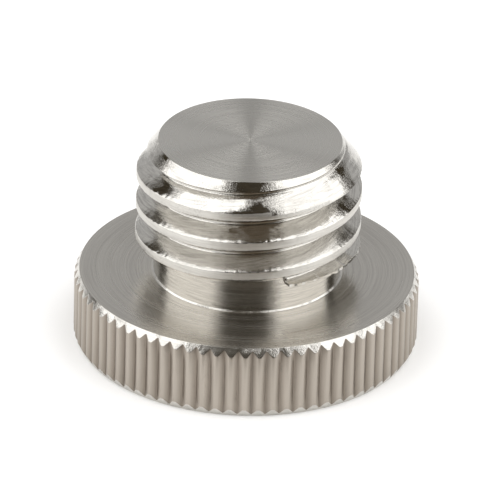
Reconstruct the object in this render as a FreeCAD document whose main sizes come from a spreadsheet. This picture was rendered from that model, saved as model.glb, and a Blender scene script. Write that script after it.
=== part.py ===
import FreeCAD, Part
import os
import Sketcher

# Tripod thread adapter: a knurled disc with a coarse male stud, turned from one bar.
# The disc rests on the plane z = 0 and the screw axis is the Z axis.
# All lengths are in millimetres and all angles in degrees.

doc = FreeCAD.newDocument("thread_adapter")

# Sizes
# The stud is a 5/8 inch, 11 turns to the inch screw, and the socket is tapped 1/4 inch, 20 to the inch.
SIZES = {
    "disc_diameter": 24.2,
    "disc_thickness": 5.3,
    "rim_edge_depth": 0.34,
    "rim_edge_height": 0.6,
    "knurl_count": 76,
    "knurl_depth": 0.31,
    "knurl_angle": 90,
    "knurl_root_width": 0.08,
    "knurl_start_angle": 2.73,
    "stud_diameter": 15.8,
    "stud_length": 10.13,
    "stud_end_taper": 1.49,
    "stud_end_height": 1.82,
    "thread_pitch": 2.309,
    "thread_angle": 60,
    "thread_crest_width": 0.585,
    "thread_root_width": 0.223,
    "thread_start_angle": 40,
    "thread_cleared_from": 232,
    "thread_cleared_to": 294,
    "neck_length": 2.1,
    "neck_undercut": 0.03,
    "neck_corner": 0.12,
    "socket_diameter": 5.15,
    "socket_depth": 9.6,
    "socket_mouth_diameter": 6.9,
    "socket_mouth_angle": 90,
    "drill_point_angle": 118,
    "cutter_overrun": 0.3,
    "cutter_clearance": 0.053,
}
sheet = doc.addObject("Spreadsheet::Sheet", "sizes")
for row, (alias, value) in enumerate(SIZES.items(), start=1):
    sheet.set(f"A{row}", alias.replace("_", " "))
    sheet.set(f"B{row}", str(value))
    sheet.setAlias(f"B{row}", alias)
doc.recompute()

# Places and depths that several outlines share, as formulas of the sizes
AXIS = "0"
BASE = "0"
DISC_RADIUS = "sizes.disc_diameter / 2"
DISC_TOP = "sizes.disc_thickness"
STUD_RADIUS = "sizes.stud_diameter / 2"
STUD_TOP = "(sizes.disc_thickness + sizes.stud_length)"
GROOVE_HALF = "(sizes.thread_pitch - sizes.thread_crest_width) / 2"
FLANK_RISE = f"({GROOVE_HALF} - sizes.thread_root_width / 2)"
ROOT_RADIUS = f"({STUD_RADIUS} - {FLANK_RISE} / tan(sizes.thread_angle / 2 * 1 deg))"
NECK_RADIUS = f"({ROOT_RADIUS} - sizes.neck_undercut)"
NECK_TOP = "(sizes.disc_thickness + sizes.neck_length)"
GROOVE_START = f"({DISC_TOP} + {GROOVE_HALF} + sizes.cutter_clearance)"
CUTTER_RADIUS = f"({STUD_RADIUS} + sizes.cutter_overrun)"
SOCKET_RADIUS = "sizes.socket_diameter / 2"


def hold(sketch, kind, line, formula, name):
    """Keep the start of a line at a distance from the sketch's origin that follows a formula."""
    value = sketch.evalExpression(formula)
    if value < 0:
        number = sketch.addConstraint(Sketcher.Constraint(kind, line, 1, -1, 1, -value))
        formula = f"-({formula})"
    else:
        number = sketch.addConstraint(Sketcher.Constraint(kind, -1, 1, line, 1, value))
    sketch.renameConstraint(number, name)
    sketch.setExpression(f"Constraints.{name}", formula)


def outline(body, name, plane, corners, axis=None, angle=None):
    """Draw a closed outline on one of the body's planes, with both places of each corner as formulas.

    The plane may be turned about one of the sketch's own axes, by an angle that is also a formula.
    """
    sketch = body.newObject("Sketcher::SketchObject", name)
    support = next(item for item in body.Origin.OriginFeatures if item.Role == plane)
    sketch.AttachmentSupport = (support, "")
    sketch.MapMode = "FlatFace"
    if axis:
        turn = FreeCAD.Rotation(axis, sketch.evalExpression(angle))
        sketch.AttachmentOffset = FreeCAD.Placement(FreeCAD.Vector(), turn)
        sketch.setExpression("AttachmentOffset.Rotation.Angle", angle)
    places = [
        FreeCAD.Vector(sketch.evalExpression(across), sketch.evalExpression(along), 0)
        for across, along in corners
    ]
    last = len(corners) - 1
    for line, place in enumerate(places):
        following = 0 if line == last else line + 1
        sketch.addGeometry(Part.LineSegment(place, places[following]))
    for line in range(len(corners)):
        following = 0 if line == last else line + 1
        sketch.addConstraint(Sketcher.Constraint("Coincident", line, 2, following, 1))
    for line, (across, along) in enumerate(corners):
        if across == AXIS:
            sketch.addConstraint(Sketcher.Constraint("PointOnObject", line, 1, -2))
        else:
            hold(sketch, "DistanceX", line, across, f"across_{line}")
        if along == BASE:
            sketch.addConstraint(Sketcher.Constraint("PointOnObject", line, 1, -1))
        else:
            hold(sketch, "DistanceY", line, along, f"along_{line}")
    doc.recompute()
    return sketch


def turned(body, kind, name, sketch):
    """Turn an outline once round its upright axis, as added or as removed material."""
    feature = body.newObject(kind, name)
    feature.Profile = sketch
    feature.ReferenceAxis = (sketch, ["V_Axis"])
    feature.Angle = 360
    doc.recompute()
    return feature


def blank(body):
    """The bar as turned: disc with broken edges, stud with a square-walled neck, and its tapered end."""
    inner_rim = f"{DISC_RADIUS} - sizes.rim_edge_depth"
    corners = [
        (AXIS, BASE),
        (inner_rim, BASE),
        (DISC_RADIUS, "sizes.rim_edge_height"),
        (DISC_RADIUS, f"{DISC_TOP} - sizes.rim_edge_height"),
        (inner_rim, DISC_TOP),
        (f"{NECK_RADIUS} + sizes.neck_corner", DISC_TOP),
        (NECK_RADIUS, f"{DISC_TOP} + sizes.neck_corner"),
        (NECK_RADIUS, NECK_TOP),
        (STUD_RADIUS, NECK_TOP),
        (STUD_RADIUS, f"{STUD_TOP} - sizes.stud_end_height"),
        (f"{STUD_RADIUS} - sizes.stud_end_taper", STUD_TOP),
        (AXIS, STUD_TOP),
    ]
    profile = outline(body, "blank_outline", "XZ_Plane", corners)
    return turned(body, "PartDesign::Revolution", "blank", profile)


def socket(body):
    """The blind tapping hole from below, with its countersunk mouth and the cone of the drill."""
    mouth = "sizes.socket_mouth_diameter / 2"
    mouth_depth = f"({mouth} - {SOCKET_RADIUS}) / tan(sizes.socket_mouth_angle / 2 * 1 deg)"
    point_rise = f"{SOCKET_RADIUS} / tan(sizes.drill_point_angle / 2 * 1 deg)"
    corners = [
        (AXIS, BASE),
        (mouth, BASE),
        (SOCKET_RADIUS, mouth_depth),
        (SOCKET_RADIUS, "sizes.socket_depth"),
        (AXIS, f"sizes.socket_depth + {point_rise}"),
    ]
    profile = outline(body, "socket_outline", "XZ_Plane", corners)
    return turned(body, "PartDesign::Groove", "socket", profile)


def helical_cut(body, name, corners, start_angle, rise):
    """Cut along the thread's right-handed helix with an outline that starts at an angle round the screw axis."""
    upright = FreeCAD.Vector(0, 1, 0)
    cutter = outline(body, f"{name}_outline", "XZ_Plane", corners, upright, start_angle)
    cut = body.newObject("PartDesign::SubtractiveHelix", name)
    cut.Profile = cutter
    cut.ReferenceAxis = (cutter, ["V_Axis"])
    cut.Mode = "pitch-height-angle"
    cut.LeftHanded = False
    cut.setExpression("Pitch", "sizes.thread_pitch")
    cut.setExpression("Height", rise)
    doc.recompute()
    return cut


def stud_thread(body):
    """The screw thread, cut as one groove from the neck up and out through the stud's end."""
    root_half = "sizes.thread_root_width / 2"
    corners = [
        (ROOT_RADIUS, f"{GROOVE_START} - {root_half}"),
        (STUD_RADIUS, f"{GROOVE_START} - {GROOVE_HALF}"),
        (CUTTER_RADIUS, f"{GROOVE_START} - {GROOVE_HALF}"),
        (CUTTER_RADIUS, f"{GROOVE_START} + {GROOVE_HALF}"),
        (STUD_RADIUS, f"{GROOVE_START} + {GROOVE_HALF}"),
        (ROOT_RADIUS, f"{GROOVE_START} + {root_half}"),
    ]
    rise = f"{STUD_TOP} - {GROOVE_START} + {GROOVE_HALF} + sizes.cutter_clearance"
    return helical_cut(body, "stud_thread", corners, "sizes.thread_start_angle", rise)


def cleared_end(body):
    """The thin end of the lowest ridge is cleared off beside the neck, so that the ridge ends in a blunt face."""
    turn = "sizes.thread_pitch / 360"
    top = f"({GROOVE_START} + (sizes.thread_cleared_from - sizes.thread_start_angle) * {turn})"
    bottom = f"({top} - {GROOVE_HALF} - sizes.thread_crest_width)"
    corners = [
        (ROOT_RADIUS, bottom),
        (CUTTER_RADIUS, bottom),
        (CUTTER_RADIUS, top),
        (ROOT_RADIUS, top),
    ]
    rise = f"(sizes.thread_cleared_to - sizes.thread_cleared_from) * {turn}"
    return helical_cut(body, "cleared_end", corners, "sizes.thread_cleared_from", rise)


def knurl(body):
    """The straight knurl: one V groove along the rim, repeated all the way round."""
    bottom = f"({DISC_RADIUS} - sizes.knurl_depth)"
    outside = f"({DISC_RADIUS} + sizes.cutter_overrun)"
    root_half = "sizes.knurl_root_width / 2"
    outer_half = f"{root_half} + ({outside} - {bottom}) * tan(sizes.knurl_angle / 2 * 1 deg)"
    corners = [
        (bottom, f"-({root_half})"),
        (outside, f"-({outer_half})"),
        (outside, outer_half),
        (bottom, root_half),
    ]
    upright = FreeCAD.Vector(0, 0, 1)
    groove_outline = outline(body, "knurl_outline", "XY_Plane", corners, upright, "sizes.knurl_start_angle")
    groove = body.newObject("PartDesign::Pocket", "knurl_groove")
    groove.Profile = groove_outline
    groove.Reversed = True
    groove.setExpression("Length", "sizes.disc_thickness")
    doc.recompute()
    pattern = body.newObject("PartDesign::PolarPattern", "knurl")
    pattern.Originals = [groove]
    pattern.Axis = (groove_outline, ["N_Axis"])
    pattern.Angle = 360
    pattern.setExpression("Occurrences", "sizes.knurl_count")
    body.Tip = pattern
    doc.recompute()
    return pattern


adapter = doc.addObject("PartDesign::Body", "thread_adapter")
adapter.Label = "thread_adapter"
adapter.Placement = FreeCAD.Placement()
turned_bar = blank(adapter)
drilled = socket(adapter)
threaded = stud_thread(adapter)
cleared = cleared_end(adapter)
knurled = knurl(adapter)
doc.recompute()

# Each cut has to take metal away
steps = [turned_bar, drilled, threaded, cleared, knurled]
for before, after in zip(steps, steps[1:]):
    if after.Shape.Volume >= before.Shape.Volume:
        raise RuntimeError(f"{after.Name} took nothing away")

for item in doc.Objects:
    if "Invalid" in item.State or "Error" in item.State:
        raise RuntimeError(f"{item.Name} failed: {item.State}")

os.makedirs("parts", exist_ok=True)
for node in [adapter]:
    shape = node.Shape
    if shape.isNull() or not shape.isValid() or len(shape.Solids) != 1:
        raise RuntimeError(f"{node.Label} is not one sound solid")
    shape.exportStep(f"parts/{node.Label}.step")
    box = shape.BoundBox
    print(node.Label, round(box.XLength, 3), round(box.YLength, 3), round(box.ZLength, 3), round(shape.Volume, 1))
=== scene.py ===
import math

import bmesh
import bpy
from mathutils import Matrix, Vector, noise


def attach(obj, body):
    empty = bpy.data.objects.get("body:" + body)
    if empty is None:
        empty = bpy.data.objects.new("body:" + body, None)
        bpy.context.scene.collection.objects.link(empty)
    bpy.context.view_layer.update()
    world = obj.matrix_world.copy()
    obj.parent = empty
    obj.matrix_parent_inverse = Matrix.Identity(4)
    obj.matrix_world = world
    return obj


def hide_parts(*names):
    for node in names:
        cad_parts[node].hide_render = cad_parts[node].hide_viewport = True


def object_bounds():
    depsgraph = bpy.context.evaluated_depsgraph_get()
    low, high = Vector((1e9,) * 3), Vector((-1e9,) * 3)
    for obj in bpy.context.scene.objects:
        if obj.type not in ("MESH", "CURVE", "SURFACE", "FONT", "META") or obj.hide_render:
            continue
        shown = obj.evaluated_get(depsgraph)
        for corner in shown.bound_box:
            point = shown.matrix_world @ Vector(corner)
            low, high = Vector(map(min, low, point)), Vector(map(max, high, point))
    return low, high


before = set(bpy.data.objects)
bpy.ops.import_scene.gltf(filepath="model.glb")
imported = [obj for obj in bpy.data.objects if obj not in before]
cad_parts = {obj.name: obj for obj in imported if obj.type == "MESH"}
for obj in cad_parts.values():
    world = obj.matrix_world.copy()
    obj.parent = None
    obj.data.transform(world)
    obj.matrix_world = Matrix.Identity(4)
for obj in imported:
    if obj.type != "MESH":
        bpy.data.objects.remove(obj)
cad_low, cad_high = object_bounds()

# The stud
# A 5/8 inch screw of plain steel, turned from the bar and threaded on a lathe. Its thread ends at a
# square wall above a plain neck, with a thin ragged lip, and the thin end of its lowest turn was cleared
# off to a blunt, torn edge. The crests are duller than the flanks, and the top turn is polished.
MM = 0.001
COLUMNS = 456
SECTORS = 19
ADAPTER_TOP = cad_high.z
STUD_RADIUS = 7.9 * MM
END_TAPER = 1.49 * MM
END_HEIGHT = 1.82 * MM
END_ROUNDING = 0.03 * MM
PITCH = 2.309 * MM
CREST_WIDTH = 0.585 * MM
ROOT_WIDTH = 0.223 * MM
FLANK_SLOPE = math.tan(math.radians(30))
GROOVE_HALF = (PITCH - CREST_WIDTH) / 2
ROOT_RADIUS = STUD_RADIUS - (GROOVE_HALF - ROOT_WIDTH / 2) / FLANK_SLOPE
GROOVE_START_HEIGHT = 6.215 * MM
GROOVE_START_TURN = 40 / 360
CLEARED_FROM = 232 / 360
CLEARED_TO = 294 / 360
DISC_TOP = 5.3 * MM
NECK_RADIUS = ROOT_RADIUS - 0.03 * MM
NECK_TOP = DISC_TOP + 2.1 * MM
NECK_CORNER = 0.12 * MM
NECK_FOOT = DISC_TOP + NECK_CORNER
CREST_ROUNDING = 0.06 * MM
CREST_TEAR = 0.021 * MM
CREST_TEAR_SPACING = 0.16 * MM
WALL_TEAR = 0.07 * MM
WALL_TEAR_SPACING = 0.4 * MM
TEAR_SEED = 3
LIP_HEIGHT = 0.17 * MM
ROOT_ROUNDING = 0.11 * MM
LONGEST_ROW = 0.3 * MM
SHORTEST_ROW = 0.02 * MM
SECTOR_MERGE = 0.002 * MM
SURFACE_MERGE = 0.004 * MM
THREAD_FINISH, CREST_FINISH, END_FINISH, KNURL_FINISH, BORE_FINISH, FACED_FINISH, EDGE_FINISH = range(7)

STEEL = (0.65, 0.63, 0.59)
STREAK_STEEL = (0.09, 0.08, 0.07, 1)
STREAKED_HEIGHTS = (0.42, 0.68)
DULL_RINGS = (0.3, 0.7)
TEAR_GRAIN = 0.13 * MM
TEAR_PATCH = 1.2 * MM
TEARS_SPARSE_BELOW = 11.4 * MM
TEARS_THICK_ABOVE = 14.2 * MM
TEARS_ADDED = 0.13
PATCH_EDGE = (0.52, 0.66)
SPOT_EDGE = (0.5, 0.62)
LEAST_GRAIN = 0.2
POLISH_FROM = 11.2 * MM
POLISH_TO = 11.8 * MM
POLISHED_SHARE = 0.45
QUARTER_TURN = 0.25
MIX_FIRST = 6
MIX_SECOND = 7
MIX_RESULT = 2

noise.seed_set(TEAR_SEED)
adapter = bmesh.new()


def softened(corners, cuts, steps=3):
    """An outline with each inner corner rounded off, from a cut before the corner to a cut after it."""
    points = [corners[0]]
    for before, corner, after, cut in zip(corners, corners[1:], corners[2:], cuts):
        start = corner + (before - corner).normalized() * cut
        end = corner + (after - corner).normalized() * cut
        for step in range(steps + 1):
            share = step / steps
            points.append(start.lerp(corner, share).lerp(corner.lerp(end, share), share))
    return points + [corners[-1]]


def with_rows(points, longest):
    """The same outline with points added, so that no step along it is longer than this."""
    rows = [points[0]]
    for before, after in zip(points, points[1:]):
        parts = max(1, math.ceil((after - before).length / longest))
        rows += [before.lerp(after, part / parts) for part in range(1, parts + 1)]
    return rows


def turned(outline, columns, climb=0.0):
    """A surface turned once round the screw axis, or a screw surface that climbs by this much a turn."""
    surface = bmesh.new()
    points = [surface.verts.new(point) for point in outline]
    lines = [surface.edges.new(pair) for pair in zip(points, points[1:])]
    bmesh.ops.spin(
        surface,
        geom=points + lines,
        cent=(0, 0, 0),
        axis=(0, 0, 1),
        dvec=(0, 0, climb / columns),
        angle=math.tau / SECTORS,
        steps=columns // SECTORS,
        use_merge=False,
    )
    sector = surface.verts[:] + surface.edges[:] + surface.faces[:]
    for number in range(1, SECTORS):
        copied = bmesh.ops.duplicate(surface, geom=sector)["geom"]
        points = [item for item in copied if isinstance(item, bmesh.types.BMVert)]
        turn = Matrix.Rotation(number * math.tau / SECTORS, 3, "Z")
        bmesh.ops.rotate(surface, verts=points, cent=(0, 0, 0), matrix=turn)
        bmesh.ops.translate(surface, verts=points, vec=(0, 0, number * climb / SECTORS))
    bmesh.ops.remove_doubles(surface, verts=surface.verts, dist=SECTOR_MERGE)
    return surface


def upright_columns(surface, count):
    """The surface's points as upright columns round the axis, each from its lowest point up."""
    found = [[] for _ in range(count)]
    for vert in surface.verts:
        turn = math.atan2(vert.co.y, vert.co.x) / math.tau
        found[round(turn * count) % count].append(vert)
    for column in found:
        column.sort(key=lambda vert: vert.co.z)
    return found


def put(vert, radius, height):
    """Move a point within its column."""
    across = vert.co.xy.normalized() * radius
    vert.co = (across.x, across.y, height)


def torn(vert, amount, spacing):
    """Shift a point a little in or out and up or down, as the metal of a torn edge lies."""
    shift = noise.noise_vector(vert.co / spacing) * amount
    put(vert, vert.co.xy.length + shift.x, vert.co.z + shift.z)


def trimmed(column, limit, side=1):
    """Cut a column back to a radius that depends on height, and return the points put on the new edges.

    Side 1 takes away what stands out past the limit, and side -1 what stands in from it.
    """
    over = [side * (vert.co.xy.length - limit(vert.co.z)) for vert in column]
    edges = []
    for low, high, low_over, high_over in zip(column, column[1:], over, over[1:]):
        if (low_over > 0) != (high_over > 0):
            share = low_over / (low_over - high_over)
            nearest = low if share < 0.5 else high
            edges.append((nearest, low.co.z + share * (high.co.z - low.co.z)))
    for vert, excess in zip(column, over):
        if excess > 0:
            put(vert, limit(vert.co.z), vert.co.z)
    for vert, height in edges:
        put(vert, limit(height), height)
    return [vert for vert, _ in edges]


def ended(column, low_radius, low_height, high_radius, high_height):
    """Gather what lies past either end of a column, or just short of it, on the end's own point."""
    for vert in column:
        if vert.co.z < low_height + SHORTEST_ROW:
            put(vert, low_radius, low_height)
        elif vert.co.z > high_height - SHORTEST_ROW:
            put(vert, high_radius, high_height)


def finished(surface, finish, edges=()):
    """Clean a surface, mark its finish and add it to the adapter."""
    bmesh.ops.connect_verts(surface, verts=list(dict.fromkeys(edges)))
    bmesh.ops.remove_doubles(surface, verts=surface.verts, dist=SURFACE_MERGE)
    bmesh.ops.dissolve_degenerate(surface, edges=surface.edges, dist=SURFACE_MERGE)
    for face in surface.faces:
        face.material_index = finish
    part = bpy.data.meshes.new("part")
    surface.to_mesh(part)
    surface.free()
    adapter.from_mesh(part)
    bpy.data.meshes.remove(part)


def lipped(above, wall_radius):
    """Bring the points just above the wall out to it, as an upright lip with a torn top."""
    lip_top = NECK_TOP + LIP_HEIGHT
    lip = min(above, key=lambda vert: abs(vert.co.z - lip_top))
    for vert in above:
        if vert is lip:
            put(vert, wall_radius, lip_top)
        elif vert.co.z < lip_top:
            put(vert, wall_radius, vert.co.z)
        else:
            break
        torn(vert, WALL_TEAR, WALL_TEAR_SPACING)


def necked(column):
    """Cut the neck into a column, up to a square wall, and return the points on the wall's two edges."""
    below = [vert for vert in column if vert.co.z < NECK_TOP]
    low, high = below[-1], column[len(below)]
    share = (NECK_TOP - low.co.z) / (high.co.z - low.co.z)
    wall_radius = max(NECK_RADIUS, low.co.xy.length + share * (high.co.xy.length - low.co.xy.length))
    for vert in below:
        put(vert, NECK_RADIUS, vert.co.z)
    put(low, NECK_RADIUS, NECK_TOP)
    put(high, wall_radius, NECK_TOP)
    if wall_radius > ROOT_RADIUS + WALL_TEAR:
        lipped(column[len(below) + 1:], wall_radius)
        torn(high, WALL_TEAR, WALL_TEAR_SPACING)
    return [low, high]


def taper_limit(height):
    """The end taper's radius at a height, and the stud's own below it."""
    return STUD_RADIUS - max(0, height - (ADAPTER_TOP - END_HEIGHT)) * END_TAPER / END_HEIGHT


def screw_outline():
    """The thread's outline, from below the neck's foot to past the stud's end."""
    half_root = ROOT_WIDTH / 2
    one_turn = softened(
        [
            Vector((ROOT_RADIUS, 0, 0)),
            Vector((ROOT_RADIUS, 0, half_root)),
            Vector((STUD_RADIUS, 0, GROOVE_HALF)),
            Vector((STUD_RADIUS, 0, GROOVE_HALF + CREST_WIDTH)),
            Vector((ROOT_RADIUS, 0, PITCH - half_root)),
            Vector((ROOT_RADIUS, 0, PITCH)),
        ],
        [ROOT_ROUNDING, CREST_ROUNDING, CREST_ROUNDING, ROOT_ROUNDING],
    )
    rows = with_rows(one_turn, LONGEST_ROW)
    first = GROOVE_START_HEIGHT - GROOVE_START_TURN * PITCH
    below = math.ceil((first - NECK_FOOT) / PITCH) + 1
    above = math.ceil((ADAPTER_TOP - first) / PITCH)
    outline = [rows[0] + Vector((0, 0, first - below * PITCH))]
    for turn in range(-below, above):
        outline += [row + Vector((0, 0, first + turn * PITCH)) for row in rows[1:]]
    return outline


def stud():
    """The threaded stud, from the top of the neck's corner to just under its end face."""
    surface = turned(screw_outline(), COLUMNS, PITCH)
    edges = []
    for place, column in enumerate(upright_columns(surface, COLUMNS)):
        turn = place / COLUMNS
        if CLEARED_FROM <= turn <= CLEARED_TO:
            groove_height = GROOVE_START_HEIGHT + (turn - GROOVE_START_TURN) * PITCH
            for vert in column:
                if vert.co.z < groove_height:
                    put(vert, min(vert.co.xy.length, ROOT_RADIUS), vert.co.z)
        for vert in column:
            if vert.co.xy.length > STUD_RADIUS - CREST_ROUNDING:
                torn(vert, CREST_TEAR, CREST_TEAR_SPACING)
        edges += necked(column)
        edges += trimmed(column, taper_limit)
        top = ADAPTER_TOP - END_ROUNDING
        ended(column, NECK_RADIUS, NECK_FOOT, taper_limit(top), top)
    finished(surface, THREAD_FINISH, edges)


stud()


def add_node(tree, kind, values=(), **settings):
    """Place a shader node. Each value names an input and gives a number, a colour or a node's output."""
    made = tree.nodes.new(kind)
    for name, setting in settings.items():
        setattr(made, name, setting)
    for socket_name, value in values:
        if isinstance(value, bpy.types.NodeSocket):
            tree.links.new(value, made.inputs[socket_name])
        else:
            made.inputs[socket_name].default_value = value
    return made


def maths(tree, operation, first, second):
    """The result of a sum, product or the like of two values."""
    return add_node(tree, "ShaderNodeMath", [(0, first), (1, second)], operation=operation).outputs[0]


def ramp(tree, value, low, high, start=0.0, end=1.0):
    """A value that runs from start to end while another one runs from low to high."""
    values = [("Value", value), ("From Min", low), ("From Max", high), ("To Min", start), ("To Max", end)]
    return add_node(tree, "ShaderNodeMapRange", values).outputs[0]


def cloudy(tree, place, scale, detail, roughness):
    """A noise pattern's value at a place."""
    values = [("Vector", place), ("Scale", scale), ("Detail", detail), ("Roughness", roughness)]
    return add_node(tree, "ShaderNodeTexNoise", values).outputs["Fac"]


def mixed(tree, share, first, second):
    """A colour between two others."""
    values = [("Factor", share), (MIX_FIRST, first), (MIX_SECOND, second)]
    return add_node(tree, "ShaderNodeMix", values, data_type="RGBA").outputs[MIX_RESULT]


def value_group(name, inputs, outputs):
    """A shader node group with a number socket for each name, and the node that hands its inputs in."""
    group = bpy.data.node_groups.new(name, "ShaderNodeTree")
    for label in inputs:
        group.interface.new_socket(label, in_out="INPUT", socket_type="NodeSocketFloat")
    for label in outputs:
        group.interface.new_socket(label, in_out="OUTPUT", socket_type="NodeSocketFloat")
    return group, group.nodes.new("NodeGroupInput")


def tool_marks_group():
    """Fine rings left by a turning tool: their height, and a mask of duller and brighter rings."""
    group, given = value_group("tool_marks", ("Spacing", "Waver"), ("Height", "Dull"))
    place = add_node(group, "ShaderNodeTexCoord").outputs["Object"]
    split = add_node(group, "ShaderNodeSeparateXYZ", [("Vector", place)])
    flat = add_node(group, "ShaderNodeCombineXYZ", [("X", split.outputs["X"]), ("Y", split.outputs["Y"])])
    radius = add_node(group, "ShaderNodeVectorMath", [(0, flat.outputs[0])], operation="LENGTH")
    way = add_node(group, "ShaderNodeVectorMath", [(0, flat.outputs[0])], operation="NORMALIZE")
    swing = [(0, way.outputs[0]), ("Scale", given.outputs["Waver"])]
    swung = add_node(group, "ShaderNodeVectorMath", swing, operation="SCALE")
    across = maths(group, "ADD", radius.outputs["Value"], split.outputs["Z"])
    rings = maths(group, "DIVIDE", across, given.outputs["Spacing"])
    lift = add_node(group, "ShaderNodeCombineXYZ", [("Z", rings)])
    both = [(0, swung.outputs[0]), (1, lift.outputs[0])]
    point = add_node(group, "ShaderNodeVectorMath", both, operation="ADD").outputs[0]
    fine = cloudy(group, point, scale=1.0, detail=3.0, roughness=0.65)
    broad = cloudy(group, point, scale=0.17, detail=4.0, roughness=0.6)
    add_node(group, "NodeGroupOutput", [("Height", fine), ("Dull", broad)])
    return group


tool_marks = tool_marks_group()


def torn_metal_group():
    """Small torn and smeared spots, gathered in patches: their height, and a mask of where they are."""
    group, given = value_group("torn_metal", ("Grain", "Patch", "Low", "High"), ("Height", "Spots"))
    place = add_node(group, "ShaderNodeTexCoord").outputs["Object"]
    grain_scale = maths(group, "DIVIDE", 1.0, given.outputs["Grain"])
    patch_scale = maths(group, "DIVIDE", 1.0, given.outputs["Patch"])
    grain = cloudy(group, place, grain_scale, detail=3.0, roughness=0.7)
    patch = cloudy(group, place, patch_scale, detail=2.0, roughness=0.5)
    height = add_node(group, "ShaderNodeSeparateXYZ", [("Vector", place)]).outputs["Z"]
    rising = ramp(group, height, given.outputs["Low"], given.outputs["High"], end=TEARS_ADDED)
    where = ramp(group, maths(group, "ADD", patch, rising), *PATCH_EDGE)
    spots = maths(group, "MULTIPLY", where, ramp(group, grain, *SPOT_EDGE))
    raised = maths(group, "MULTIPLY", grain, ramp(group, where, 0.0, 1.0, start=LEAST_GRAIN))
    add_node(group, "NodeGroupOutput", [("Height", raised), ("Spots", spots)])
    return group


torn_metal = torn_metal_group()


def steel(name, colour, gloss, spacing, waver, ring_height, stretch, grain_height=0, spot_shade=0, streak=0):
    """A turned steel surface, by the spacing, waver and height of its rings.

    Gloss is the least and the greatest roughness, and stretch is how far the rings smear a reflection
    across themselves. The last three are the torn grain's height and how dark torn spots and rings get.
    """
    material = bpy.data.materials.new(name)
    material.use_nodes = True
    tree = material.node_tree
    shader = tree.nodes["Principled BSDF"]
    cut = [("Spacing", spacing), ("Waver", waver)]
    marks = add_node(tree, "ShaderNodeGroup", cut, node_tree=tool_marks)
    spread = [
        ("Grain", TEAR_GRAIN),
        ("Patch", TEAR_PATCH),
        ("Low", TEARS_SPARSE_BELOW),
        ("High", TEARS_THICK_ABOVE),
    ]
    tears = add_node(tree, "ShaderNodeGroup", spread, node_tree=torn_metal)
    rings = [("Height", marks.outputs["Height"]), ("Distance", ring_height), ("Strength", 1.0)]
    ringed = add_node(tree, "ShaderNodeBump", rings).outputs[0]
    grain = [("Height", tears.outputs["Height"]), ("Distance", grain_height), ("Strength", 1.0)]
    grained = add_node(tree, "ShaderNodeBump", grain + [("Normal", ringed)]).outputs[0]
    shaded = maths(tree, "MULTIPLY", tears.outputs["Spots"], spot_shade)
    lined = ramp(tree, marks.outputs["Height"], *STREAKED_HEIGHTS, end=streak)
    tint = mixed(tree, maths(tree, "MAXIMUM", shaded, lined), (*colour, 1), STREAK_STEEL)
    rough = ramp(tree, marks.outputs["Dull"], *DULL_RINGS, *gloss)
    tangent = add_node(tree, "ShaderNodeTangent", direction_type="RADIAL", axis="Z")
    tree.links.new(tint, shader.inputs["Base Color"])
    shader.inputs["Metallic"].default_value = 1
    shader.inputs["Anisotropic"].default_value = stretch
    shader.inputs["Anisotropic Rotation"].default_value = QUARTER_TURN
    tree.links.new(tangent.outputs[0], shader.inputs["Tangent"])
    tree.links.new(rough, shader.inputs["Roughness"])
    tree.links.new(grained, shader.inputs["Normal"])
    return material


thread_steel = steel(
    "thread_steel",
    STEEL,
    gloss=(0.12, 0.25),
    spacing=0.05 * MM,
    waver=4.0,
    ring_height=0.0018 * MM,
    stretch=0.6,
    grain_height=0.015 * MM,
    spot_shade=0.3,
    streak=0.35,
)
thread_tree = thread_steel.node_tree
thread_shader = thread_tree.nodes["Principled BSDF"]
thread_place = add_node(thread_tree, "ShaderNodeTexCoord").outputs["Object"]
thread_height = add_node(thread_tree, "ShaderNodeSeparateXYZ", [("Vector", thread_place)]).outputs["Z"]
polish = ramp(thread_tree, thread_height, POLISH_FROM, POLISH_TO, start=1.0, end=POLISHED_SHARE)
unpolished = thread_shader.inputs["Roughness"].links[0].from_socket
polished = maths(thread_tree, "MULTIPLY", unpolished, polish)
thread_tree.links.new(polished, thread_shader.inputs["Roughness"])

crest_steel = steel(
    "crest_steel",
    STEEL,
    gloss=(0.32, 0.46),
    spacing=0.05 * MM,
    waver=4.0,
    ring_height=0.001 * MM,
    stretch=0.3,
    grain_height=0.006 * MM,
    spot_shade=0.3,
    streak=0.25,
)

# The stud's end face
# The same steel, faced square on the lathe from the rim to the middle, where the tool left a small dimple.
# Its rings are so fine and even that they draw each reflection out into a fan.
END_RADIUS = STUD_RADIUS - END_TAPER
DIMPLE_RADIUS = 0.22 * MM
DIMPLE_DEPTH = 0.06 * MM


def end_face():
    """The flat end, from the end taper's rounded rim in to the dimple in the middle."""
    corners = [
        Vector((END_RADIUS + END_ROUNDING, 0, ADAPTER_TOP - END_ROUNDING)),
        Vector((END_RADIUS, 0, ADAPTER_TOP)),
        Vector((DIMPLE_RADIUS, 0, ADAPTER_TOP)),
        Vector((0, 0, ADAPTER_TOP - DIMPLE_DEPTH)),
    ]
    outline = softened(corners, [END_ROUNDING, DIMPLE_RADIUS / 3])
    finished(turned(outline, COLUMNS), END_FINISH)


end_face()

end_steel = steel(
    "end_steel",
    STEEL,
    gloss=(0.24, 0.32),
    spacing=0.04 * MM,
    waver=1.2,
    ring_height=0.0004 * MM,
    stretch=0.95,
)

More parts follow.
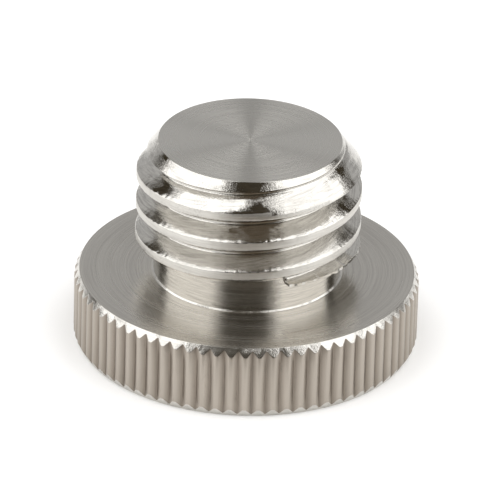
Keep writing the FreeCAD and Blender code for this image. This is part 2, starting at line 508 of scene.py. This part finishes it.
# The knurled disc
# The bar's full width, faced flat round the neck. A straight knurl was rolled into the rim, whose two
# edges were then broken on the lathe, so that the ridges end in points on the sloped edge. The knurl is
# worn brighter along its crests, and its grooves carry painted shade: darker colour down towards their
# bottom.
DISC_RADIUS = cad_high.x
RIM_EDGE_DEPTH = 0.34 * MM
RIM_EDGE_HEIGHT = 0.6 * MM
INNER_RIM = DISC_RADIUS - RIM_EDGE_DEPTH
RIM_ROUNDING = 0.05 * MM
LONGEST_DISC_ROW = 1.1 * MM
KNURL_COUNT = 76
KNURL_DEPTH = 0.22 * MM
KNURL_FLANK = 0.32 * MM
KNURL_ROOT_WIDTH = 0.08 * MM
KNURL_ROOT_TURN = 2.73 / 360
KNURL_EDGE = 0.04 * MM
POINTS_PER_RIDGE = COLUMNS // KNURL_COUNT
DISC_STEEL = (0.62, 0.595, 0.55)
# The knurl's colour at the bottom of its grooves, darkened as painted shade.
SHADED_KNURL_STEEL = (0.25, 0.215, 0.18)
WORN_STEEL = (0.42, 0.378, 0.33, 1)


def disc():
    """The disc from the foot of the neck out over the knurled rim to the edge of the underside."""
    slope = RIM_EDGE_HEIGHT / RIM_EDGE_DEPTH
    corners = [
        Vector((NECK_RADIUS, 0, NECK_FOOT)),
        Vector((NECK_RADIUS + NECK_CORNER, 0, DISC_TOP)),
        Vector((INNER_RIM, 0, DISC_TOP)),
        Vector((DISC_RADIUS, 0, DISC_TOP - RIM_EDGE_HEIGHT)),
        Vector((DISC_RADIUS, 0, RIM_EDGE_HEIGHT)),
        Vector((INNER_RIM, 0, 0)),
    ]
    cuts = [NECK_CORNER / 3, RIM_ROUNDING / 3, RIM_ROUNDING, RIM_ROUNDING]
    surface = turned(with_rows(softened(corners, cuts), LONGEST_DISC_ROW), COLUMNS)
    half_root = KNURL_ROOT_WIDTH / 2
    groove_half = half_root + KNURL_FLANK
    ridge_half = math.pi * DISC_RADIUS / KNURL_COUNT - groove_half
    ridge = [
        (-ridge_half - KNURL_EDGE, KNURL_EDGE),
        (-ridge_half + KNURL_EDGE, 0),
        (ridge_half - KNURL_EDGE, 0),
        (ridge_half + KNURL_EDGE, KNURL_EDGE),
        (ridge_half + groove_half - half_root, KNURL_DEPTH),
        (ridge_half + groove_half + half_root, KNURL_DEPTH),
    ]
    first_ridge = KNURL_ROOT_TURN * math.tau - math.pi / KNURL_COUNT
    for place, column in enumerate(upright_columns(surface, COLUMNS)):
        tooth, point = divmod(place, POINTS_PER_RIDGE)
        along, depth = ridge[point]
        angle = first_ridge + tooth * math.tau / KNURL_COUNT + along / DISC_RADIUS
        outward = Vector((math.cos(angle), math.sin(angle), 0))
        for vert in column:
            radius = vert.co.xy.length
            if radius > INNER_RIM + RIM_ROUNDING / 2:
                rise = depth * slope * (1 if vert.co.z > DISC_TOP / 2 else -1)
                vert.co = outward * (radius - depth) + Vector((0, 0, vert.co.z + rise))
    finished(surface, KNURL_FINISH)


disc()


def worn_and_shaded_ridges_group():
    """How far out a point of the knurl lies, from 0 at the grooves' bottom to 1 on the ridges' crests."""
    group, given = value_group("worn_and_shaded_ridges", ("Inner", "Outer"), ("Wear_And_Shade",))
    place = add_node(group, "ShaderNodeTexCoord").outputs["Object"]
    flat = add_node(group, "ShaderNodeVectorMath", [(0, place), (1, (1, 1, 0))], operation="MULTIPLY")
    radius = add_node(group, "ShaderNodeVectorMath", [(0, flat.outputs[0])], operation="LENGTH")
    wear_and_shade_mask = ramp(group, radius.outputs["Value"], given.outputs["Inner"], given.outputs["Outer"])
    add_node(group, "NodeGroupOutput", [("Wear_And_Shade", wear_and_shade_mask)])
    return group


worn_and_shaded_ridges = worn_and_shaded_ridges_group()

knurl_steel = steel(
    "knurl_steel",
    SHADED_KNURL_STEEL,
    gloss=(0.26, 0.42),
    spacing=3.0 * MM,
    waver=110.0,
    ring_height=0.02 * MM,
    stretch=0.0,
    grain_height=0.014 * MM,
    spot_shade=0.3,
    streak=0.3,
)
# The knurl's colour runs from painted shade at the bottom of the grooves to wear on the crests.
knurl_tree = knurl_steel.node_tree
knurl_shader = knurl_tree.nodes["Principled BSDF"]
depths = [("Inner", DISC_RADIUS - KNURL_DEPTH), ("Outer", DISC_RADIUS - KNURL_EDGE / 4)]
wear_and_shade_node = add_node(knurl_tree, "ShaderNodeGroup", depths, node_tree=worn_and_shaded_ridges)
shaded_groove_tint = knurl_shader.inputs["Base Color"].links[0].from_socket
worn_and_shaded_tint = mixed(knurl_tree, wear_and_shade_node.outputs["Wear_And_Shade"], shaded_groove_tint, WORN_STEEL)
knurl_tree.links.new(worn_and_shaded_tint, knurl_shader.inputs["Base Color"])

disc_steel = steel(
    "disc_steel",
    DISC_STEEL,
    gloss=(0.18, 0.3),
    spacing=0.06 * MM,
    waver=1.6,
    ring_height=0.0018 * MM,
    stretch=0.8,
    streak=0.22,
)
rim_edge_steel = steel(
    "rim_edge_steel",
    STEEL,
    gloss=(0.14, 0.26),
    spacing=0.05 * MM,
    waver=2.5,
    ring_height=0.001 * MM,
    stretch=0.4,
    grain_height=0.05 * MM,
    spot_shade=0.3,
    streak=0.2,
)

# The tapped socket
# A blind hole, drilled from below, countersunk at its mouth and tapped for a 1/4 inch camera screw.
# The tap's first teeth are ground low, so its last turns fade out above the full thread.
SOCKET_COLUMNS = 152
SOCKET_RADIUS = 2.575 * MM
SOCKET_DEPTH = 9.6 * MM
SOCKET_MOUTH = 3.45 * MM
SOCKET_PITCH = 1.27 * MM
SOCKET_GROOVE_RADIUS = 3.175 * MM
SOCKET_GROOVE_WIDTH = SOCKET_PITCH / 8
SOCKET_THREAD_END = 8.9 * MM
TAP_FADE = 0.35
DRILL_POINT_HALF_ANGLE = math.radians(59)


def mouth_limit(height):
    """The countersink's radius at a height: it narrows at 45 degrees."""
    return SOCKET_MOUTH - height


def tap_limit(height):
    """How far out the tap's teeth cut at a height; they end on the drilled wall."""
    return SOCKET_RADIUS + max(0, SOCKET_THREAD_END - height) * TAP_FADE


def socket():
    """The socket's wall from its mouth to the drill's point, with the thread that the tap left."""
    groove_half = SOCKET_GROOVE_WIDTH / 2
    flank = (SOCKET_GROOVE_RADIUS - SOCKET_RADIUS) * FLANK_SLOPE
    crest = SOCKET_PITCH / 2 - groove_half - flank
    one_turn = [
        Vector((SOCKET_RADIUS, 0, 0)),
        Vector((SOCKET_RADIUS, 0, crest)),
        Vector((SOCKET_GROOVE_RADIUS, 0, crest + flank)),
        Vector((SOCKET_GROOVE_RADIUS, 0, SOCKET_PITCH - crest - flank)),
        Vector((SOCKET_RADIUS, 0, SOCKET_PITCH - crest)),
        Vector((SOCKET_RADIUS, 0, SOCKET_PITCH)),
    ]
    rows = with_rows(one_turn, LONGEST_ROW)
    outline = [rows[0] - Vector((0, 0, SOCKET_PITCH))]
    for turn in range(-1, math.ceil(SOCKET_DEPTH / SOCKET_PITCH)):
        outline += [row + Vector((0, 0, turn * SOCKET_PITCH)) for row in rows[1:]]
    surface = turned(outline, SOCKET_COLUMNS, SOCKET_PITCH)
    edges = []
    for column in upright_columns(surface, SOCKET_COLUMNS):
        edges += trimmed(column, tap_limit)
        edges += trimmed(column, mouth_limit, side=-1)
        ended(column, SOCKET_MOUTH, 0, SOCKET_RADIUS, SOCKET_DEPTH)
    finished(surface, BORE_FINISH, edges)
    point = SOCKET_DEPTH + SOCKET_RADIUS / math.tan(DRILL_POINT_HALF_ANGLE)
    cone = [Vector((SOCKET_RADIUS, 0, SOCKET_DEPTH)), Vector((0, 0, point))]
    finished(turned(cone, SOCKET_COLUMNS), BORE_FINISH)


socket()

bore_steel = steel(
    "bore_steel",
    STEEL,
    gloss=(0.25, 0.4),
    spacing=0.05 * MM,
    waver=3.0,
    ring_height=0.001 * MM,
    stretch=0.4,
)

# The adapter in one piece
# Stud, disc and socket are one bar of turned steel, so their surfaces are merged where they meet. The
# flat underside closes the shell between the rim and the socket's mouth. The disc's flat faces, the rim's
# sloped edges and the thread's crests are then told apart by the way they face.
SEAM_MERGE = 0.006 * MM
FLAT_FACING = 0.8
SLOPED_FACING = 0.4
CREST_FACING = 0.5
SHARP_ANGLE = math.radians(32)


def surface_finish(face):
    """The finish of a face, which for the disc and the thread depends on the way it faces."""
    steepness = abs(face.normal.z)
    if face.material_index == KNURL_FINISH and steepness > SLOPED_FACING:
        return FACED_FINISH if steepness > FLAT_FACING else EDGE_FINISH
    if face.material_index == THREAD_FINISH and steepness < CREST_FACING:
        if face.calc_center_median().xy.length > STUD_RADIUS - 2 * CREST_ROUNDING:
            return CREST_FINISH
    return face.material_index


bmesh.ops.remove_doubles(adapter, verts=adapter.verts, dist=SEAM_MERGE)
open_edges = [edge for edge in adapter.edges if edge.is_boundary]
underside = bmesh.ops.triangle_fill(adapter, edges=open_edges, use_beauty=True)["geom"]
for item in underside:
    if isinstance(item, bmesh.types.BMFace):
        item.material_index = FACED_FINISH
bmesh.ops.recalc_face_normals(adapter, faces=adapter.faces)
for face in adapter.faces:
    face.material_index = surface_finish(face)

body_mesh = bpy.data.meshes.new("adapter_body")
adapter.to_mesh(body_mesh)
adapter.free()
body_mesh.set_sharp_from_angle(angle=SHARP_ANGLE)
finishes = (thread_steel, crest_steel, end_steel, knurl_steel, bore_steel, disc_steel, rim_edge_steel)
for material in finishes:
    body_mesh.materials.append(material)
body_piece = bpy.data.objects.new("adapter_body", body_mesh)
bpy.context.scene.collection.objects.link(body_piece)
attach(body_piece, "root")
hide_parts("thread_adapter")

# The floor
# A wide sheet of matt white paper that the adapter stands on. It runs on past the picture's edges, so
# that the picture has no horizon.
FLOOR_WIDTH = 6.0
PAPER_WHITE = (0.93, 0.925, 0.915, 1)
PAPER_ROUGHNESS = 0.9
floor_mesh = bpy.data.meshes.new("floor")
floor_shape = bmesh.new()
bmesh.ops.create_grid(floor_shape, x_segments=1, y_segments=1, size=FLOOR_WIDTH / 2)
floor_shape.to_mesh(floor_mesh)
floor_shape.free()
floor = bpy.data.objects.new("floor", floor_mesh)
bpy.context.scene.collection.objects.link(floor)
paper = bpy.data.materials.new("white_paper")
paper.use_nodes = True
paper.node_tree.nodes["Principled BSDF"].inputs["Base Color"].default_value = PAPER_WHITE
paper.node_tree.nodes["Principled BSDF"].inputs["Roughness"].default_value = PAPER_ROUGHNESS
floor_mesh.materials.append(paper)

# The light
# Two large soft boxes lean together over the adapter like a tent, open towards the camera and the back.
# Grey cards beside and between them give the steel something darker to mirror.
BOX_RADIANCE = 1.36
BOX_PLACE = Vector((0.33, -0.2, 0.325))
BOX_FACING = Vector((-0.606, 0, -0.795))
BOX_LENGTH = 0.8
BOX_HEIGHT = 0.74
WORLD_GREY = 0.56
CARD_COLOUR = (0.055, 0.045, 0.03, 1)
BACK_CARD_COLOUR = (0.42, 0.42, 0.42, 1)
# The glow of the floor card: a painted darker floor that only the steel's reflections show.
FLOOR_CARD_COLOUR = (0.2, 0.165, 0.125, 1)
CARD_DISTANCE = 0.28
CARD_STEPS = 24
FLARE_CURVE = 1.3
TOP_FIRMNESS = 2
FIRMNESS_CURVE = 4
SIDE_CARD_FRONT = 0.20
SIDE_CARD_BACK = 0.41
SIDE_CARD_BENDS = ((0.03, 0.54), (0.62, 0.09), (0.73, 0.005))
FLOOR_CARD_HEIGHT = 0.0002
FLOOR_CARD_NEAR = 0.021
FLOOR_CARD_NEAR_HALF = 0.02
FLOOR_CARD_FAR = 0.4
FLOOR_CARD_FAR_HALF = 0.34


def soft_box(name, side):
    """One soft box of the tent: side is 1 on the right and -1 on the left."""
    data = bpy.data.lights.new(name, "AREA")
    data.shape = "RECTANGLE"
    data.size = BOX_LENGTH
    data.size_y = BOX_HEIGHT
    data.energy = BOX_RADIANCE * math.pi * BOX_LENGTH * BOX_HEIGHT
    lamp = bpy.data.objects.new(name, data)
    facing = Vector((BOX_FACING.x * side, 0, BOX_FACING.z))
    place = Vector((BOX_PLACE.x * side, BOX_PLACE.y, BOX_PLACE.z))
    lamp.matrix_world = Matrix.Translation(place) @ facing.to_track_quat("-Z", "Y").to_matrix().to_4x4()
    lamp.visible_camera = False
    bpy.context.scene.collection.objects.link(lamp)


soft_box("left_box", -1)
soft_box("right_box", 1)


def card(name, rows, colour, fade):
    """A card that only the steel's reflections see; it thins out over this share of its half width."""
    mesh = bpy.data.meshes.new(name)
    shape = bmesh.new()
    cover = shape.verts.layers.float.new("cover")
    made = []
    for first, last, firmness in rows:
        row = [shape.verts.new(point) for point in (first, (first + last) / 2, last)]
        row[1][cover] = firmness
        made.append(row)
    for near, far in zip(made, made[1:]):
        shape.faces.new((near[0], near[1], far[1], far[0]))
        shape.faces.new((near[1], near[2], far[2], far[1]))
    shape.to_mesh(mesh)
    shape.free()
    piece = bpy.data.objects.new(name, mesh)
    piece.visible_camera = False
    piece.visible_diffuse = False
    piece.visible_shadow = False
    bpy.context.scene.collection.objects.link(piece)
    surface = bpy.data.materials.new(name)
    surface.use_nodes = True
    shader = surface.node_tree.nodes["Principled BSDF"]
    shader.inputs["Base Color"].default_value = (0, 0, 0, 1)
    shader.inputs["Specular IOR Level"].default_value = 0
    shader.inputs["Emission Color"].default_value = colour
    shader.inputs["Emission Strength"].default_value = 1
    covered = add_node(surface.node_tree, "ShaderNodeAttribute", attribute_name="cover")
    dense = add_node(
        surface.node_tree,
        "ShaderNodeMapRange",
        [("Value", covered.outputs["Fac"]), ("From Max", fade)],
        interpolation_type="SMOOTHSTEP",
    )
    surface.node_tree.links.new(dense.outputs[0], shader.inputs["Alpha"])
    mesh.materials.append(surface)


def strip_rows(first, last, narrow, flare):
    """A strip arched over the adapter between two elevations in degrees, flaring towards the horizon."""
    for step in range(CARD_STEPS + 1):
        elevation = math.radians(first + (last - first) * step / CARD_STEPS)
        half = narrow + flare * max(0, math.cos(elevation)) ** FLARE_CURVE
        across = math.sqrt(1 - half * half)
        low = Vector((-half, -across * math.cos(elevation), across * math.sin(elevation)))
        firmness = 1 + TOP_FIRMNESS * max(0, math.sin(elevation)) ** FIRMNESS_CURVE
        yield low * CARD_DISTANCE, Vector((half, low.y, low.z)) * CARD_DISTANCE, firmness


def side_rows(side):
    """The dark end of one soft box, towards the back: side is 1 on the right and -1 on the left."""
    for x, z in SIDE_CARD_BENDS:
        yield Vector((x * side, SIDE_CARD_FRONT, z)), Vector((x * side, SIDE_CARD_BACK, z)), 1


def floor_rows():
    """A card on the floor that widens from the adapter's front towards the camera."""
    ends = ((FLOOR_CARD_NEAR, FLOOR_CARD_NEAR_HALF), (FLOOR_CARD_FAR, FLOOR_CARD_FAR_HALF))
    for away, half in ends:
        yield Vector((-half, -away, FLOOR_CARD_HEIGHT)), Vector((half, -away, FLOOR_CARD_HEIGHT)), 1


card("front_card", strip_rows(first=-8, last=112, narrow=0.10, flare=0.70), CARD_COLOUR, fade=0.75)
card("back_card", strip_rows(first=112, last=184, narrow=0.07, flare=0), BACK_CARD_COLOUR, fade=0.7)
card("left_card", side_rows(-1), CARD_COLOUR, fade=0.3)
card("right_card", side_rows(1), CARD_COLOUR, fade=0.3)
# The floor card is seen only in the steel's reflections, where it paints a darker floor in front of the
# adapter.
card("floor_card", floor_rows(), FLOOR_CARD_COLOUR, fade=0.6)

world = bpy.data.worlds.new("studio")
bpy.context.scene.world = world
world.use_nodes = True
world.node_tree.nodes["Background"].inputs["Color"].default_value = (WORLD_GREY, WORLD_GREY, WORLD_GREY, 1)

# The camera
# A long lens a little over half a metre in front of the adapter, looking down on it and slightly rolled.
# It aims beside the middle by a few pixels, so that the adapter lies where it does in the picture.
CAMERA_DISTANCE = 0.547
CAMERA_ELEVATION = math.radians(28.07)
CAMERA_ROLL = math.radians(1.60)
CAMERA_LENS = 561
SENSOR_WIDTH = 36
NEAREST_SEEN = 0.01
FARTHEST_SEEN = 20
IMAGE_WIDTH = 500
AIM_HEIGHT = 5.445 * MM
AIM_PIXEL = Vector((246.9, 266.3))

camera_data = bpy.data.cameras.new("camera")
camera_data.lens = CAMERA_LENS
camera_data.sensor_width = SENSOR_WIDTH
camera_data.clip_start = NEAREST_SEEN
camera_data.clip_end = FARTHEST_SEEN
camera = bpy.data.objects.new("camera", camera_data)
bpy.context.scene.collection.objects.link(camera)
bpy.context.scene.camera = camera
target = Vector((0, 0, AIM_HEIGHT))
back = Vector((0, -math.cos(CAMERA_ELEVATION), math.sin(CAMERA_ELEVATION)))
right = Vector((1, 0, 0))
upward = back.cross(right)
camera_right = right * math.cos(CAMERA_ROLL) + upward * math.sin(CAMERA_ROLL)
camera_up = back.cross(camera_right)
eye = target + back * CAMERA_DISTANCE
pixel = CAMERA_DISTANCE * SENSOR_WIDTH / CAMERA_LENS / IMAGE_WIDTH
middle = Vector((IMAGE_WIDTH / 2, IMAGE_WIDTH / 2))
offset = (middle - AIM_PIXEL) * pixel
aim = target + camera_right * offset.x - camera_up * offset.y
view_back = (eye - aim).normalized()
view_right = camera_up.cross(view_back).normalized()
view_up = view_back.cross(view_right)
facing = Matrix((view_right, view_up, view_back)).transposed().to_4x4()
camera.matrix_world = Matrix.Translation(eye) @ facing

scene = bpy.context.scene
scene.view_settings.view_transform = "Standard"
